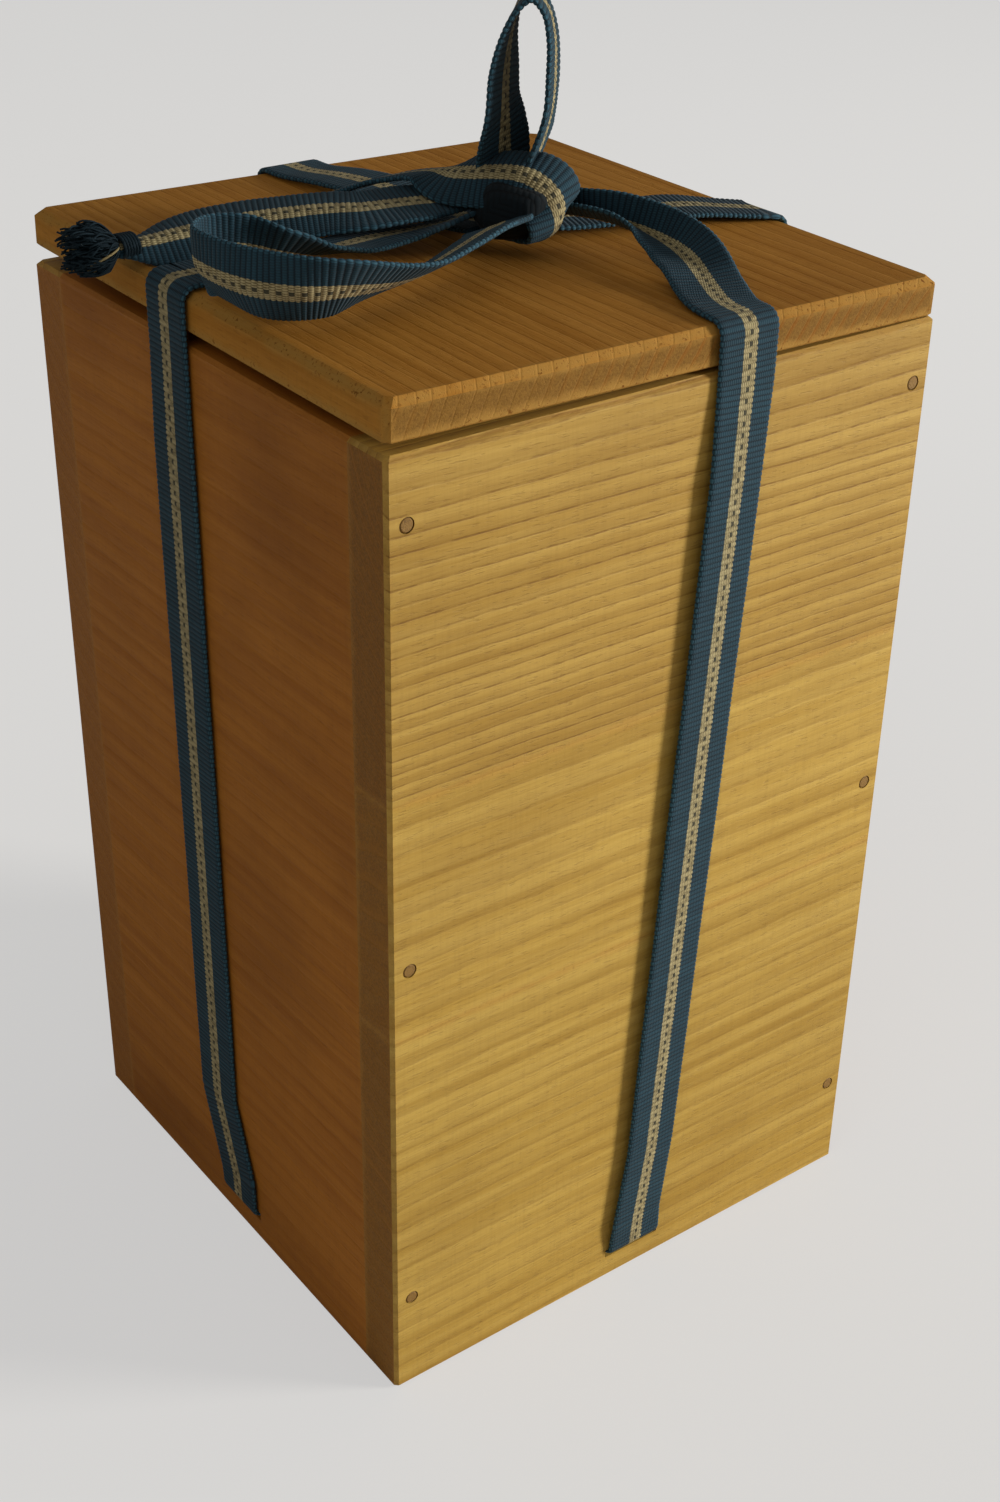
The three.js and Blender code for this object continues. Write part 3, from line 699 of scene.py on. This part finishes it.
# tassel: the strap's end whipped with thread, its warp threads loose
tassel = {
    "start": (-71.2, 21.9, 4.2), "length": 12.6, "shortestShare": 0.62,
    "radius": 6.6, "neck": 1.5, "flatness": 0.85, "dome": 0.22,
    "threads": 300, "threadRadius": 0.19, "seed": 7, "stations": 11,
    "curl": 1.5, "curlTurns": (5, 4),  # sideways and upwards, in radians along a thread
    "paleThreads": 7, "paleSeed": 11, "paleLengthShare": 0.9, "paleRadius": 0.247,
    "sag": 0.4, "lidGap": 0.4,
}
whipping = {
    "turns": 6, "stations": 140, "start": 0.4, "pitch": 0.62, "drop": 0.4,
    "halfWide": 2.97, "halfHigh": 2.16, "thread": 0.34, "threadSides": 8,
}
darkBlue = {"dark": paint(7, 13, 18), "light": paint(32, 52, 62)}
paleCream = {"dark": paint(110, 94, 60), "light": paint(176, 160, 116)}


def threadFinish(name, values):
    f = newFinish(name)
    place = f.place()
    tone = f.noise(place, 700)
    fine = f.noise(place, 3500)
    colour = f.blend(tone * 0.7 + fine * 0.3, values["dark"], values["light"])
    return f.surface({"Base Color": colour, "Roughness": 0.65 + fine * 0.25,
                      "Normal": f.bump(fine, 0.0001, 0.6), "Specular IOR Level": 0.15})


darkThread = threadFinish("darkThread", darkBlue)
paleThread = threadFinish("paleThread", paleCream)


# Thin tubes along many lines at once: lines is threads by stations by xyz, and
# each station gets a small ring square to its line
def tubes(name, lines, radius, material, sides=4):
    ahead = unit(np.gradient(lines, axis=1))
    slanted = np.array([0.13, 0.31, 1.0])  # no line runs along it
    aside = unit(np.cross(ahead, slanted))
    above = np.cross(aside, ahead)
    angle = np.linspace(0, 2 * np.pi, sides, endpoint=False)[:, None]
    ring = np.cos(angle) * aside[:, :, None] + np.sin(angle) * above[:, :, None]
    points = lines[:, :, None] + ring * radius
    count, stations = lines.shape[:2]
    quads, first, last = ringFaces(stations, sides)
    shift = np.arange(count)[:, None] * stations * sides
    quads = (quads[None] + shift[..., None]).reshape(-1, 4)
    ends = np.concatenate([first + shift, last + shift])
    return newMesh(name, points.reshape(-1, 3) * mm, [quads, ends], material)


# Threads leave the neck, spread by the sine of their share of the length and
# curl by a sine wave of their own; x goes out along the tail
def tuft(name, values, count, seed, material, lengthShare, radius):
    dice = np.random.default_rng(seed)
    t = np.linspace(0, 1, values["stations"])[None, :]
    turned = dice.uniform(0, 2 * np.pi, (count, 1))
    spread = dice.uniform(0.05, 1, (count, 1)) ** 0.5
    long = values["length"] * lengthShare * dice.uniform(values["shortestShare"], 1.0, (count, 1))
    bulge = values["neck"] + (values["radius"] - values["neck"]) * np.sin(t ** 0.8 * 1.9)
    wave = dice.uniform(0, 2 * np.pi, (2, count, 1))
    curl = values["curl"] * dice.uniform(0.2, 1, (count, 1)) * t
    x = -long * (t - values["dome"] * spread * t ** 2)
    y = spread * bulge * np.cos(turned) + curl * np.sin(values["curlTurns"][0] * t + wave[0])
    z = spread * bulge * np.sin(turned) * values["flatness"]
    z = z + curl * np.sin(values["curlTurns"][1] * t + wave[1]) - values["sag"] * t
    z = np.maximum(z, values["lidGap"] - values["start"][2])
    lines = np.stack([x, y, z], axis=-1) + onLid([values["start"]])[0]
    return tubes(name, lines, radius, material)


# A thread wound round the strap's end: a flattened helix along x
def woundThread(values, material):
    t = np.linspace(0, values["turns"], values["stations"])
    turned = 2 * np.pi * t
    line = np.stack([values["start"] + values["pitch"] * t, values["halfWide"] * np.cos(turned),
                     values["halfHigh"] * np.sin(turned) - values["drop"]], axis=-1)
    line = line + onLid([tassel["start"]])[0]
    return tubes("tailWhipping", line[None], values["thread"], material, values["threadSides"])


threads = tuft("tasselThreads", tassel, tassel["threads"], tassel["seed"], darkThread,
               1.0, tassel["threadRadius"])
pale = tuft("tasselPaleThreads", tassel, tassel["paleThreads"], tassel["paleSeed"], paleThread,
            tassel["paleLengthShare"], tassel["paleRadius"])
wound = woundThread(whipping, darkThread)
for piece in (threads, pale, wound):
    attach(piece, "lid")
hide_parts("tail_tassel")

(knotCentre * mm).tolist()

# wood: kiri, its growth rings as cylinders round a far heart line
kiri = {
    "pale": paint(193, 160, 79), "mid": paint(172, 137, 56), "dark": paint(108, 70, 12),
    "end": paint(142, 92, 18), "endDark": paint(90, 54, 10), "endLine": paint(152, 98, 26),
    "worn": paint(184, 134, 58),
}
backWood = dict(kiri, end=paint(164, 104, 26), endDark=paint(120, 70, 14))
lidWood = {
    "pale": paint(188, 132, 54), "mid": paint(168, 112, 36), "dark": paint(110, 64, 14),
    "end": paint(134, 98, 42), "endDark": paint(92, 64, 24), "endLine": paint(146, 88, 30),
    "worn": paint(168, 127, 60),
}
# left wall: the same kiri written darker and redder, painted shade of its shaded side
shadedSideWood = {
    "pale": paint(176, 112, 36), "mid": paint(160, 98, 28), "dark": paint(108, 60, 14),
    "end": paint(132, 80, 22), "endDark": paint(84, 44, 8), "endLine": paint(164, 104, 36),
    "worn": paint(176, 116, 44),
}
pegWood = {
    "pale": paint(160, 126, 66), "mid": paint(142, 108, 52), "dark": paint(84, 56, 22),
    "end": paint(146, 111, 54), "endDark": paint(120, 89, 42), "endLine": paint(130, 96, 44),
    "worn": paint(128, 95, 45),
}
# Noise drawn out along the grain: scales along and across it per millimetre,
# detail, roughness, and an offset that keeps one from repeating another
grainNoises = {
    "drift": (0.008, 0.012, 2, 0.5, 0),
    "ripple": (0.05, 0.05, 3, 0.55, 7),
    "sway": (0.002, 0.03, 2, 0.5, 0),
    "broken": (0.2, 1.1, 3, 0.65, 0),
    "streak": (0.01, 0.35, 4, 0.6, 0),
    "fibre": (0.11, 3.6, 3, 0.6, 0),
    "pore": (0.3, 2.6, 2, 0.5, 3),
    "shimmer": (0.09, 0.03, 2, 0.6, 5),
    "fleck": (1.3, 0.09, 3, 0.6, 0),
}
# Places in a ring, from 0 to 1: where each band starts, is full, fades and ends
ringBands = {
    "late": (0.1, 0.92, 0.94, 1.0),  # late wood, slowly darker to its edge
    "line": (0.82, 0.9, 0.94, 1.0),  # its darkest line
    "endLine": (0.55, 0.85, 0.9, 1.0),  # the line in the end grain
}
# Layers over the wood's tone: where the noise starts and is full, strength, colour
grainLayers = {
    "fibre": (0.45, 0.75, 0.22, "dark"),
    "pore": (0.58, 0.7, 0.2, "dark"),
    "shimmer": (0.5, 0.8, 0.14, "pale"),
    "fleck": (0.42, 0.7, 0.08, "dark"),
}
# What a board's own entry may change
plainWood = {
    "colours": kiri, "tint": (1, 1, 1), "lines": 0.5, "band": 0.3, "shade": 0.2,
    "rough": 0.55, "gloss": 0.32, "reliefHeight": 0.16,
    "worn": 0.25, "reach": 1.5,  # how pale the edges are, and how far in
    "lean": (0, 0),  # how much the piece rises along x and y
}


# The distance from the heart line, bent a little along the grain, over the ring
# spacing: its whole part numbers the rings, and the rest is the place in a ring;
# v and w lie across the grain
def growthRings(f, v, w, noises, values):
    warp, heart = values["warp"], values["heart"]
    sideways = (noises["drift"] - 0.5) * warp
    reachV = v - heart[0] + sideways * 2
    reachW = w - heart[1] + sideways + (noises["ripple"] - 0.5) * warp * 0.35
    far = f.math("SQRT", reachV * reachV + reachW * reachW)
    rings = far / values["ring"] + (noises["sway"] - 0.5) * 1.6
    index = f.math("FLOOR", rings)
    return rings - index, f.draw(index)


# End grain: speckled, with lines where the rings are cut across
def endGrain(f, place, inRing, ringTone, cloud, colours):
    speckle = f.noise(place, 2.2, 3, 0.75)
    ends = f.blend(f.step(speckle, 0.3, 0.75) * 0.75, colours["end"], colours["endDark"])
    line = f.pulse(inRing, *ringBands["endLine"]) * (ringTone * 0.7 + 0.3)
    return f.blend(line * f.step(cloud, 0.4, 0.6) * 0.55, ends, colours["endLine"])


# Wear along the edges of a box, where the second smallest distance to its faces
# is small; noise makes its border uneven
def edgeWear(f, place, parts, low, high, reach):
    near = [(b - a) / 2 - f.math("ABSOLUTE", part - (a + b) / 2)
            for part, a, b in zip(parts, low, high)]
    least = f.math("MINIMUM", near[0], near[1])
    most = f.math("MAXIMUM", near[0], near[1])
    second = f.math("MAXIMUM", least, f.math("MINIMUM", most, near[2]))
    rub = f.noise(place, 0.16, 4, 0.65)
    return 1 - f.step(second + (rub - 0.5) * 3.4, reach * 0.07, reach)


# Late wood darkens each ring, and its line is broken along the grain; faces
# across the grain turn to end grain, and edges wear pale, with dark pits
def woodFinish(name, low, high, **changes):
    values = dict(plainWood, **changes)
    colours, lean = values["colours"], values["lean"]
    f = newFinish(name)
    place = f.node("ShaderNodeMapping", None, {"Vector": f.place(), "Scale": (1000, 1000, 1000)})
    parts = f.parts(place)
    parts[2] = parts[2] + parts[0] * lean[0] + parts[1] * lean[1]
    axis = "xyz".index(values["grain"])
    along = parts[axis]
    v, w = [parts[i] for i in range(3) if i != axis]
    noises = {}
    for key, (alongScale, acrossScale, detail, roughness, offset) in grainNoises.items():
        drawnOut = f.vector(along * alongScale, v * acrossScale, w * acrossScale + offset)
        noises[key] = f.noise(drawnOut, 1.0, detail, roughness)
    inRing, ringTone = growthRings(f, v, w, noises, values)
    late = f.pulse(inRing, *ringBands["late"])
    line = f.pulse(inRing, *ringBands["line"])
    broken = f.step(noises["broken"], 0.38, 0.6)
    cloud = f.noise(place, 0.014, 3, 0.55)

    colour = f.blend(f.step(noises["streak"], 0.3, 0.72), colours["pale"], colours["mid"])
    colour = f.blend(late * values["band"], colour, colours["dark"])
    colour = f.blend(line * (ringTone * 0.5 + 0.5) * broken * values["lines"], colour, colours["dark"])
    layers = {}
    for key, (start, full, strength, other) in grainLayers.items():
        layers[key] = f.step(noises[key], start, full)
        colour = f.blend(layers[key] * strength, colour, colours[other])
    colour = f.blend(f.step(cloud, 0.42, 0.75) * values["shade"], colour, colours["dark"])

    facing = f.node("ShaderNodeNewGeometry", None, None, "Normal")
    isEnd = f.step(f.math("ABSOLUTE", f.parts(facing)[axis]), 0.75, 0.95)
    colour = f.blend(isEnd * 0.92, colour, endGrain(f, place, inRing, ringTone, cloud, colours))
    wear = edgeWear(f, place, parts, low, high, values["reach"])
    pits = f.step(f.noise(place, 1.1, 3, 0.7), 0.58, 0.66) * wear
    colour = f.blend(wear * values["worn"], colour, colours["worn"])
    colour = f.blend(pits * values["worn"] * 1.2, colour, colours["dark"])
    colour = f.blend(1.0, colour, (*values["tint"], 1), "MULTIPLY")
    relief = noises["fibre"] * 0.5 - line * 0.7 - layers["pore"] * 0.8 + noises["streak"] * 0.3
    return f.surface({
        "Base Color": colour, "Roughness": values["rough"] + noises["fibre"] * 0.18 + late * 0.06,
        "Normal": f.bump(relief, values["reliefHeight"] * mm, 0.5),
        "Specular IOR Level": values["gloss"]})


def dress(node, low, high, **wood):
    finish = woodFinish(node + "_wood", low, high, **wood)
    for slot in nodes[node].material_slots:
        slot.material = finish


boards = {
    "front_wall_upper_board": dict(grain="x", heart=(-98, 238), ring=2.75, warp=3,
                                   lines=0.62, band=0.26, tint=(0.98, 0.94, 0.88)),
    "front_wall_middle_board": dict(grain="x", heart=(-20, 330), ring=6.5, warp=5,
                                    lines=0.14, band=0.2, tint=(1.08, 1.07, 1.04)),
    "front_wall_lower_board": dict(grain="x", heart=(-110, 300), ring=5.6, warp=6,
                                   lines=0.12, band=0.17, tint=(1.03, 1.02, 0.98)),
    "back_wall": dict(grain="x", heart=(-160, 480), ring=4.6, warp=6, colours=backWood,
                      tint=(0.96, 0.9, 0.8)),
    # the left wall's colours carry painted shade
    "left_wall": dict(grain="y", heart=(40, -300), ring=5, warp=6, lines=0.05, band=0.05,
                      colours=shadedSideWood, shade=0.4, gloss=0.2),
    "right_wall": dict(grain="y", heart=(-90, 520), ring=5, warp=6, lines=0.35, band=0.2,
                       tint=(0.96, 0.86, 0.7)),
    "floor_board": dict(grain="x", heart=(40, -90), ring=6, warp=6, lines=0.4),
    "lid_board": dict(grain="y", heart=(220, 100), ring=3.0, warp=4, lines=0.36, band=0.14,
                      colours=lidWood, worn=0.85, rough=0.68, gloss=0.12, reach=2.8,
                      lean=(np.sin(lidTilt), -np.sin(lidBackTilt))),
}
for node, board in boards.items():
    low, high = boxOf(node)
    if node == "lid_board":  # its box as it would be without the tilt
        low[2], high[2] = lidTopAt(0, 0) - lidBoard["thickness"], lidTopAt(0, 0)
    dress(node, low, high, **board)

batten = dict(heart=(30, 260), ring=3.6, warp=4, tint=(0.7, 0.66, 0.6))
for side, grain in (("front", "x"), ("back", "x"), ("left", "y"), ("right", "y")):
    node = "lid_batten_" + side
    dress(node, *boxOf(node), grain=grain, **batten)

peg = dict(grain="y", ring=0.7, warp=0.3, colours=pegWood, lines=0.6, worn=0.5)
for node in nodes:
    if node.startswith("peg_"):
        low, high = boxOf(node)
        dress(node, low, high, heart=(low[0] - 1, low[2] - 1), **peg)
print("wood made")

# floor, world and lamps
studio = {
    "floor": paint(228, 226, 222), "floorShade": paint(190, 188, 184),
    "floorGlow": 0.86, "glowShare": 0.6,  # what the camera sees of it in place of the floor
    "floorHalf": 30,  # metres
    "world": (1.0, 0.97, 0.93, 1), "worldStrength": 0.24, "backdrop": (0.8, 0.79, 0.77, 1),
    "key": dict(place=(1.23, -1.02, 0.46), aim=(0, 0, 0.13), size=0.45, power=29.0,
                colour=(1.0, 0.97, 0.92)),
    "fill": dict(place=(-1.6, -0.9, 1.5), aim=(0, 0, 0.13), size=1.6, power=4.0,
                 colour=(1.0, 0.95, 0.88)),
}


def floorFinish(values):
    f = newFinish("paleFloor")
    colour = f.blend(f.noise(f.place(), 6.0, 3) * 0.06, values["floor"], values["floorShade"])
    shader = f.node("ShaderNodeBsdfDiffuse", None, {"Color": colour, "Roughness": 0.6})
    glow = f.node("ShaderNodeEmission", None, {"Color": (1, 1, 1, 1), "Strength": values["floorGlow"]})
    seen = f.node("ShaderNodeLightPath", None, None, "Is Camera Ray")
    return f.end(f.node("ShaderNodeMixShader", None, {
        0: seen * values["glowShare"], 1: shader, 2: glow}))


# the world lights the object, and the camera sees a backdrop in its place
def studioWorld(values):
    f = Finish(bpy.data.worlds.new("studio"))
    seen = f.node("ShaderNodeLightPath", None, None, "Is Camera Ray")
    light = f.node("ShaderNodeBackground", None, {
        "Color": values["world"], "Strength": values["worldStrength"]})
    backdrop = f.node("ShaderNodeBackground", None, {"Color": values["backdrop"], "Strength": 1.0})
    mixed = f.node("ShaderNodeMixShader", None, {0: seen, 1: light, 2: backdrop})
    return f.end(mixed, "ShaderNodeOutputWorld")


def areaLamp(name, values):
    lamp = bpy.data.lights.new(name, "AREA")
    lamp.shape, lamp.size = "DISK", values["size"]
    lamp.energy, lamp.color = values["power"], values["colour"]
    back = unit(np.array(values["place"]) - np.array(values["aim"]))
    aside = unit(np.cross([0, 0, 1], back))
    addObject(name, lamp).matrix_world = placement(
        aside, np.cross(back, aside), back, values["place"])


corners = np.array([[-1, -1, 0], [1, -1, 0], [1, 1, 0], [-1, 1, 0]]) * studio["floorHalf"]
floor = newMesh("studioFloor", corners, [np.array([[0, 1, 2, 3]])], floorFinish(studio), smooth=False)
areaLamp("keyLamp", studio["key"])
areaLamp("fillLamp", studio["fill"])
bpy.context.scene.world = studioWorld(studio)
bpy.context.scene.view_settings.view_transform = "Standard"
print("studio made")
